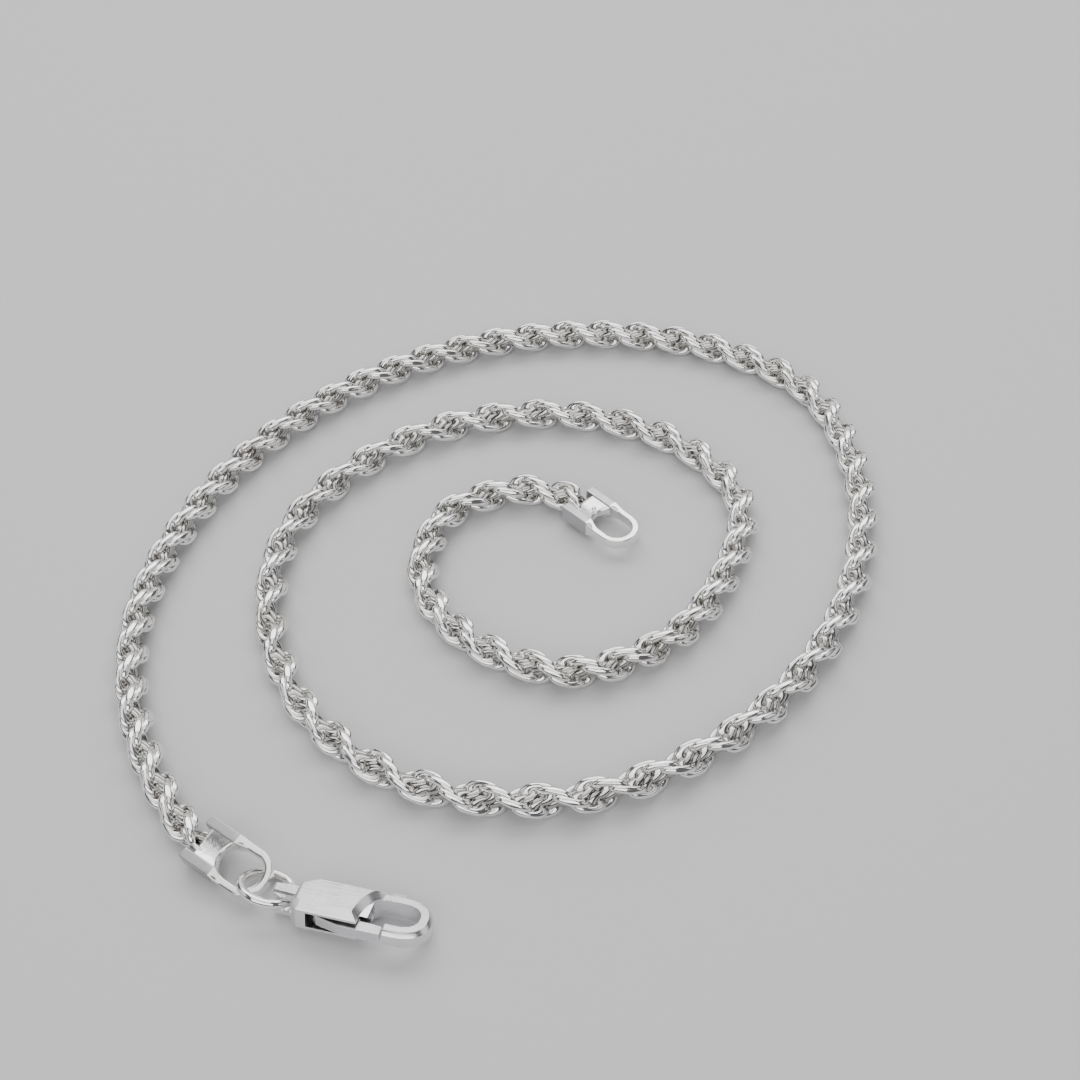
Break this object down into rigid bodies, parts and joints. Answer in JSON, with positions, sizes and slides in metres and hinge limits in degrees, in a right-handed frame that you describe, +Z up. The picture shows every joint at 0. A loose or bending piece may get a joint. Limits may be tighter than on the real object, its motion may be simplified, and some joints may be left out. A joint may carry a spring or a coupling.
{
  "type": "chain necklace",
  "caption": "Twisted rope-link chain lying in a loose spiral, with a soldered strap cap at each end, a jump ring and a sprung lobster clasp.",
  "frame": {"origin": "on the plane the necklace lies on, under the middle of its overall box", "axes": "+Z up from that plane; +X from the outer loop's clasp side towards the far side of the coil, +Y away from the clasp"},
  "size_m": [0.0834, 0.092, 0.004],
  "materials": {
    "rope": "polished silver wire",
    "end_cap": "satin silver strap, polished at the loop",
    "jump_ring": "polished silver wire",
    "clasp_body": "polished silver",
    "clasp_lever": "satin silver",
    "clasp_pin": "polished silver",
    "clasp_spring": "bright spring strip"
  },
  "bodies": {
    "run_22": {"chain_run_22": "rope"},
    "run_01": {"chain_run_01": "rope"},
    "run_02": {"chain_run_02": "rope"},
    "run_03": {"chain_run_03": "rope"},
    "run_04": {"chain_run_04": "rope"},
    "run_05": {"chain_run_05": "rope"},
    "run_06": {"chain_run_06": "rope"},
    "run_07": {"chain_run_07": "rope"},
    "run_08": {"chain_run_08": "rope"},
    "run_09": {"chain_run_09": "rope"},
    "run_10": {"chain_run_10": "rope"},
    "run_11": {"chain_run_11": "rope"},
    "run_12": {"chain_run_12": "rope"},
    "run_13": {"chain_run_13": "rope"},
    "run_14": {"chain_run_14": "rope"},
    "run_15": {"chain_run_15": "rope"},
    "run_16": {"chain_run_16": "rope"},
    "run_17": {"chain_run_17": "rope"},
    "run_18": {"chain_run_18": "rope"},
    "run_19": {"chain_run_19": "rope"},
    "run_20": {"chain_run_20": "rope"},
    "run_21": {"chain_run_21": "rope"},
    "run_23": {"chain_run_23": "rope"},
    "run_24": {"chain_run_24": "rope"},
    "run_25": {"chain_run_25": "rope"},
    "run_26": {"chain_run_26": "rope"},
    "run_27": {"chain_run_27": "rope"},
    "run_28": {"chain_run_28": "rope"},
    "run_29": {"chain_run_29": "rope"},
    "run_30": {"chain_run_30": "rope"},
    "run_31": {"chain_run_31": "rope"},
    "run_32": {"chain_run_32": "rope"},
    "run_33": {"chain_run_33": "rope"},
    "run_34": {"chain_run_34": "rope"},
    "run_35": {"chain_run_35": "rope"},
    "run_36": {"chain_run_36": "rope"},
    "run_37": {"chain_run_37": "rope"},
    "run_38": {"chain_run_38": "rope"},
    "run_39": {"chain_run_39": "rope"},
    "run_40": {"chain_run_40": "rope"},
    "run_41": {"chain_run_41": "rope"},
    "run_42": {"chain_run_42": "rope"},
    "run_43": {"chain_run_43": "rope"},
    "cap_outer": {"end_cap_outer": "end_cap"},
    "cap_inner": {"end_cap_inner": "end_cap"},
    "ring": {"jump_ring": "jump_ring"},
    "clasp": {"clasp_body": "clasp_body", "clasp_pin": "clasp_pin", "clasp_spring": "clasp_spring"},
    "lever": {"clasp_lever": "clasp_lever"}
  },
  "joints": [
    {"name": "lever_pivot", "type": "hinge", "parent": "clasp", "child": "lever", "pos_m": [-0.01706, -0.04243, 0.00221], "axis": [0.0503, 0.2017, 0.9781], "range_deg": [0, 22], "stiffness_Nm_per_rad": 0.004, "springref_deg": -20.05, "deforming": ["clasp_spring"]},
    {"name": "ring_roll", "type": "hinge", "parent": "cap_outer", "child": "ring", "pos_m": [-0.02244, -0.03926, 0.00171], "axis": [0.8082, -0.5872, -0.0436], "range_deg": [-96, 0]},
    {"name": "clasp_slide", "type": "hinge", "parent": "ring", "child": "clasp", "pos_m": [-0.02244, -0.03926, 0.00171], "axis": [0.2625, 0.3892, 0.8829], "range_deg": [-35, 35]},
    {"name": "cap_outer_hinge", "type": "hinge", "parent": "run_01", "child": "cap_outer", "pos_m": [-0.03033, -0.03347, 0.0018], "axis": [-0.5854, -0.3967, 0.7071], "range_deg": [-20, 20]},
    {"name": "cap_inner_hinge", "type": "hinge", "parent": "run_43", "child": "cap_inner", "pos_m": [0.00667, 0.01393, 0.0017], "axis": [0.5086, 0.4912, -0.7071], "range_deg": [-20, 20]},
    {"name": "bend_21_22", "type": "hinge", "parent": "run_22", "child": "run_21", "pos_m": [0.01396, -0.02641, 0.0018], "axis": [-0.3082, 0.6364, 0.7071], "range_deg": [-30, 30]},
    {"name": "bend_20_21", "type": "hinge", "parent": "run_21", "child": "run_20", "pos_m": [0.02231, -0.02116, 0.0018], "axis": [0.4389, -0.5544, 0.7071], "range_deg": [-30, 30]},
    {"name": "bend_19_20", "type": "hinge", "parent": "run_20", "child": "run_19", "pos_m": [0.02929, -0.0142, 0.0018], "axis": [0.5489, -0.4458, -0.7071], "range_deg": [-30, 30]},
    {"name": "bend_18_19", "type": "hinge", "parent": "run_19", "child": "run_18", "pos_m": [0.03466, -0.00594, 0.0018], "axis": [-0.6312, 0.3187, -0.7071], "range_deg": [-30, 30]},
    {"name": "bend_17_18", "type": "hinge", "parent": "run_18", "child": "run_17", "pos_m": [0.03819, 0.00327, 0.0018], "axis": [-0.932, 0.2536, 0.2588], "range_deg": [-30, 30]},
    {"name": "bend_16_17", "type": "hinge", "parent": "run_17", "child": "run_16", "pos_m": [0.03985, 0.01299, 0.0018], "axis": [0.9634, -0.0694, 0.2588], "range_deg": [-30, 30]},
    {"name": "bend_15_16", "type": "hinge", "parent": "run_16", "child": "run_15", "pos_m": [0.03939, 0.02283, 0.0018], "axis": [0.953, 0.1576, -0.2588], "range_deg": [-30, 30]},
    {"name": "bend_14_15", "type": "hinge", "parent": "run_15", "child": "run_14", "pos_m": [0.03637, 0.03218, 0.0018], "axis": [-0.8382, -0.4801, -0.2588], "range_deg": [-30, 30]},
    {"name": "bend_13_14", "type": "hinge", "parent": "run_14", "child": "run_13", "pos_m": [0.0294, 0.03904, 0.0018], "axis": [-0.3803, -0.5961, 0.7071], "range_deg": [-30, 30]},
    {"name": "bend_12_13", "type": "hinge", "parent": "run_13", "child": "run_12", "pos_m": [0.02041, 0.04302, 0.0018], "axis": [0.1794, 0.684, 0.7071], "range_deg": [-30, 30]},
    {"name": "bend_11_12", "type": "hinge", "parent": "run_12", "child": "run_11", "pos_m": [0.01064, 0.04434, 0.0018], "axis": [0.0171, 0.7069, -0.7071], "range_deg": [-30, 30]},
    {"name": "bend_10_11", "type": "hinge", "parent": "run_11", "child": "run_10", "pos_m": [0.00082, 0.04346, 0.0018], "axis": [0.137, -0.6937, -0.7071], "range_deg": [-30, 30]},
    {"name": "bend_09_10", "type": "hinge", "parent": "run_10", "child": "run_09", "pos_m": [-0.00858, 0.04052, 0.0018], "axis": [0.2842, -0.6475, 0.7071], "range_deg": [-30, 30]},
    {"name": "bend_08_09", "type": "hinge", "parent": "run_09", "child": "run_08", "pos_m": [-0.01718, 0.03569, 0.0018], "axis": [-0.4035, 0.5807, 0.7071], "range_deg": [-30, 30]},
    {"name": "bend_07_08", "type": "hinge", "parent": "run_08", "child": "run_07", "pos_m": [-0.02467, 0.02927, 0.0018], "axis": [-0.5079, 0.492, -0.7071], "range_deg": [-30, 30]},
    {"name": "bend_06_07", "type": "hinge", "parent": "run_07", "child": "run_06", "pos_m": [-0.03091, 0.02163, 0.0018], "axis": [0.5853, -0.3968, -0.7071], "range_deg": [-30, 30]},
    {"name": "bend_05_06", "type": "hinge", "parent": "run_06", "child": "run_05", "pos_m": [-0.03569, 0.01301, 0.0018], "axis": [0.6458, -0.288, 0.7071], "range_deg": [-30, 30]},
    {"name": "bend_04_05", "type": "hinge", "parent": "run_05", "child": "run_04", "pos_m": [-0.0389, 0.00368, 0.0018], "axis": [-0.6867, 0.1687, 0.7071], "range_deg": [-30, 30]},
    {"name": "bend_03_04", "type": "hinge", "parent": "run_04", "child": "run_03", "pos_m": [-0.04017, -0.00609, 0.0018], "axis": [-0.7071, 0.003, -0.7071], "range_deg": [-30, 30]},
    {"name": "bend_02_03", "type": "hinge", "parent": "run_03", "child": "run_02", "pos_m": [-0.03901, -0.01587, 0.0018], "axis": [0.6855, 0.1734, -0.7071], "range_deg": [-30, 30]},
    {"name": "bend_01_02", "type": "hinge", "parent": "run_02", "child": "run_01", "pos_m": [-0.03558, -0.02511, 0.0018], "axis": [0.6287, 0.3236, 0.7071], "range_deg": [-30, 30]},
    {"name": "bend_22_23", "type": "hinge", "parent": "run_22", "child": "run_23", "pos_m": [0.00454, -0.02915, 0.0018], "axis": [-0.0628, 0.7043, -0.7071], "range_deg": [-30, 30]},
    {"name": "bend_23_24", "type": "hinge", "parent": "run_23", "child": "run_24", "pos_m": [-0.00528, -0.0285, 0.0018], "axis": [-0.1535, -0.6902, -0.7071], "range_deg": [-30, 30]},
    {"name": "bend_24_25", "type": "hinge", "parent": "run_24", "child": "run_25", "pos_m": [-0.01422, -0.02447, 0.0018], "axis": [-0.4168, -0.5712, 0.7071], "range_deg": [-30, 30]},
    {"name": "bend_25_26", "type": "hinge", "parent": "run_25", "child": "run_26", "pos_m": [-0.02104, -0.0174, 0.0018], "axis": [0.5883, 0.3923, 0.7071], "range_deg": [-30, 30]},
    {"name": "bend_26_27", "type": "hinge", "parent": "run_26", "child": "run_27", "pos_m": [-0.02512, -0.00845, 0.0018], "axis": [0.6803, 0.1929, -0.7071], "range_deg": [-30, 30]},
    {"name": "bend_27_28", "type": "hinge", "parent": "run_27", "child": "run_28", "pos_m": [-0.02634, 0.00131, 0.0018], "axis": [-0.7069, 0.0187, -0.7071], "range_deg": [-30, 30]},
    {"name": "bend_28_29", "type": "hinge", "parent": "run_28", "child": "run_29", "pos_m": [-0.02414, 0.01086, 0.0018], "axis": [-0.6381, 0.3048, 0.7071], "range_deg": [-30, 30]},
    {"name": "bend_29_30", "type": "hinge", "parent": "run_29", "child": "run_30", "pos_m": [-0.01851, 0.01893, 0.0018], "axis": [0.5144, -0.4852, 0.7071], "range_deg": [-30, 30]},
    {"name": "bend_30_31", "type": "hinge", "parent": "run_30", "child": "run_31", "pos_m": [-0.01077, 0.025, 0.0018], "axis": [0.3486, -0.6152, -0.7071], "range_deg": [-30, 30]},
    {"name": "bend_31_32", "type": "hinge", "parent": "run_31", "child": "run_32", "pos_m": [-0.00151, 0.02829, 0.0018], "axis": [-0.1219, 0.6965, -0.7071], "range_deg": [-30, 30]},
    {"name": "bend_32_33", "type": "hinge", "parent": "run_32", "child": "run_33", "pos_m": [0.00831, 0.02832, 0.0018], "axis": [0.1335, 0.6944, 0.7071], "range_deg": [-30, 30]},
    {"name": "bend_33_34", "type": "hinge", "parent": "run_33", "child": "run_34", "pos_m": [0.01748, 0.02478, 0.0018], "axis": [-0.3758, -0.599, 0.7071], "range_deg": [-30, 30]},
    {"name": "bend_34_35", "type": "hinge", "parent": "run_34", "child": "run_35", "pos_m": [0.02427, 0.01774, 0.0018], "axis": [-0.6108, -0.3563, -0.7071], "range_deg": [-30, 30]},
    {"name": "bend_35_36", "type": "hinge", "parent": "run_35", "child": "run_36", "pos_m": [0.02561, 0.00824, 0.0018], "axis": [0.6898, -0.1556, -0.7071], "range_deg": [-30, 30]},
    {"name": "bend_36_37", "type": "hinge", "parent": "run_36", "child": "run_37", "pos_m": [0.02213, -0.00098, 0.0018], "axis": [0.6277, -0.3255, 0.7071], "range_deg": [-30, 30]},
    {"name": "bend_37_38", "type": "hinge", "parent": "run_37", "child": "run_38", "pos_m": [0.01602, -0.00863, 0.0018], "axis": [-0.4251, 0.565, 0.7071], "range_deg": [-30, 30]},
    {"name": "bend_38_39", "type": "hinge", "parent": "run_38", "child": "run_39", "pos_m": [0.00707, -0.01253, 0.0018], "axis": [-0.0655, 0.7041, -0.7071], "range_deg": [-30, 30]},
    {"name": "bend_39_40", "type": "hinge", "parent": "run_39", "child": "run_40", "pos_m": [-0.0022, -0.00966, 0.0018], "axis": [-0.3839, -0.5938, -0.7071], "range_deg": [-30, 30]},
    {"name": "bend_40_41", "type": "hinge", "parent": "run_40", "child": "run_41", "pos_m": [-0.00869, -0.00237, 0.0018], "axis": [-0.6355, -0.3101, 0.7071], "range_deg": [-30, 30]},
    {"name": "bend_41_42", "type": "hinge", "parent": "run_41", "child": "run_42", "pos_m": [-0.00924, 0.00724, 0.0018], "axis": [0.6778, -0.2014, 0.7071], "range_deg": [-30, 30]},
    {"name": "bend_42_43", "type": "hinge", "parent": "run_42", "child": "run_43", "pos_m": [-0.00288, 0.01424, 0.0018], "axis": [0.2636, -0.6562, -0.7071], "range_deg": [-30, 30]}
  ]
}
